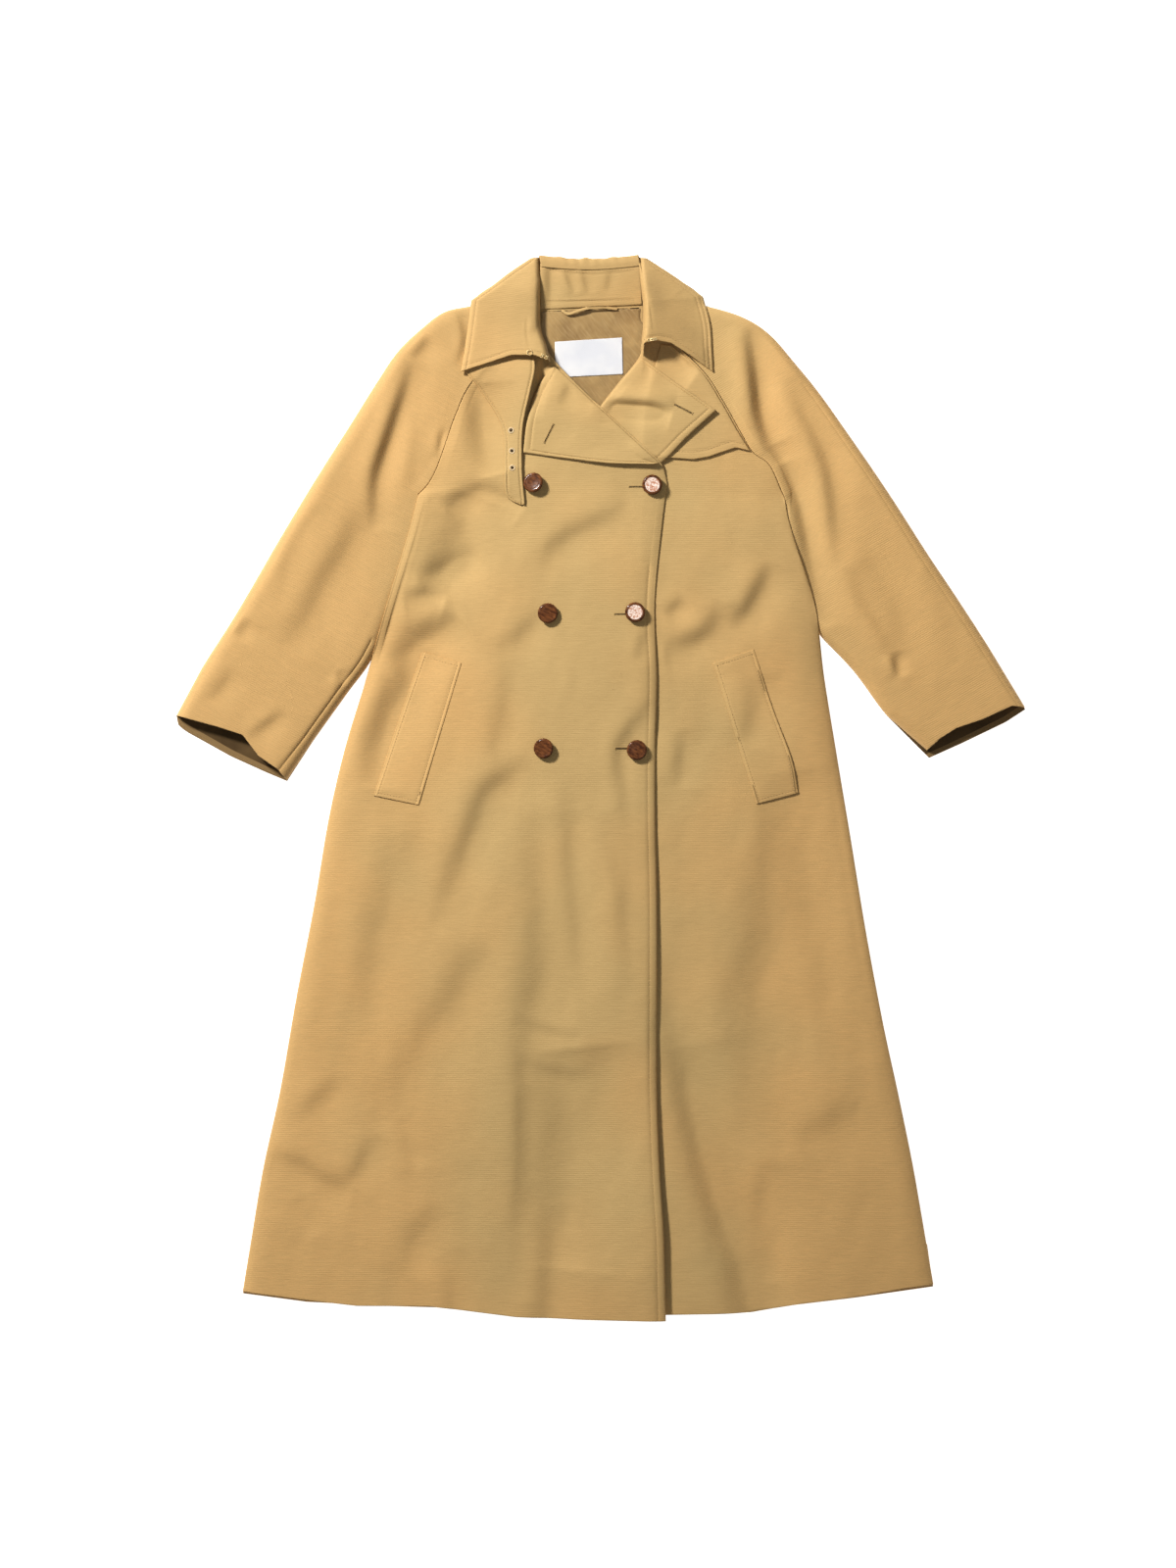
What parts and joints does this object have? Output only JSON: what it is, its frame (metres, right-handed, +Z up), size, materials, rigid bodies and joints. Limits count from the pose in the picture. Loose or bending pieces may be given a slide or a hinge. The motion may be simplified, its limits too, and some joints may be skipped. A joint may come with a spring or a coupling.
{
  "type": "raincoat",
  "caption": "Long double-breasted tan gabardine raincoat with raglan sleeves, storm flap and welt pockets, laid flat on its back, buttoned to open lapels.",
  "frame": {"origin": "on the surface that the coat lies on, under the middle of its outline", "axes": "+X to the wearer's left, +Y along the coat from hem to collar, +Z up from the surface through the back to the fronts"},
  "size_m": [0.996, 1.248, 0.0245],
  "materials": {
    "gabardine": "fine tan cotton gabardine, matt with a faint sheen",
    "lining_satin": "darker tan glossy satin",
    "label_satin": "white satin, bare",
    "button": "glossy dark brown, domed"
  },
  "bodies": {
    "root": {"back": "gabardine", "collar_fall_back": "gabardine", "collar_leaf_left": "gabardine", "collar_leaf_right": "gabardine", "collar_stand": "gabardine", "front_left": "gabardine", "front_right": "gabardine", "hanger_loop": "gabardine", "lapel_left": "gabardine", "lapel_right": "gabardine", "pocket_welt_left": "gabardine", "pocket_welt_right": "gabardine", "sleeve_back_left": "gabardine", "sleeve_back_right": "gabardine", "sleeve_front_left": "gabardine", "sleeve_front_right": "gabardine", "storm_flap": "gabardine", "throat_latch": "gabardine", "lining_neck": "lining_satin", "label": "label_satin", "button_low_left": "button", "button_low_right": "button", "button_middle_left": "button", "button_middle_right": "button", "button_top_left": "button", "button_top_right": "button"}
  },
  "joints": []
}
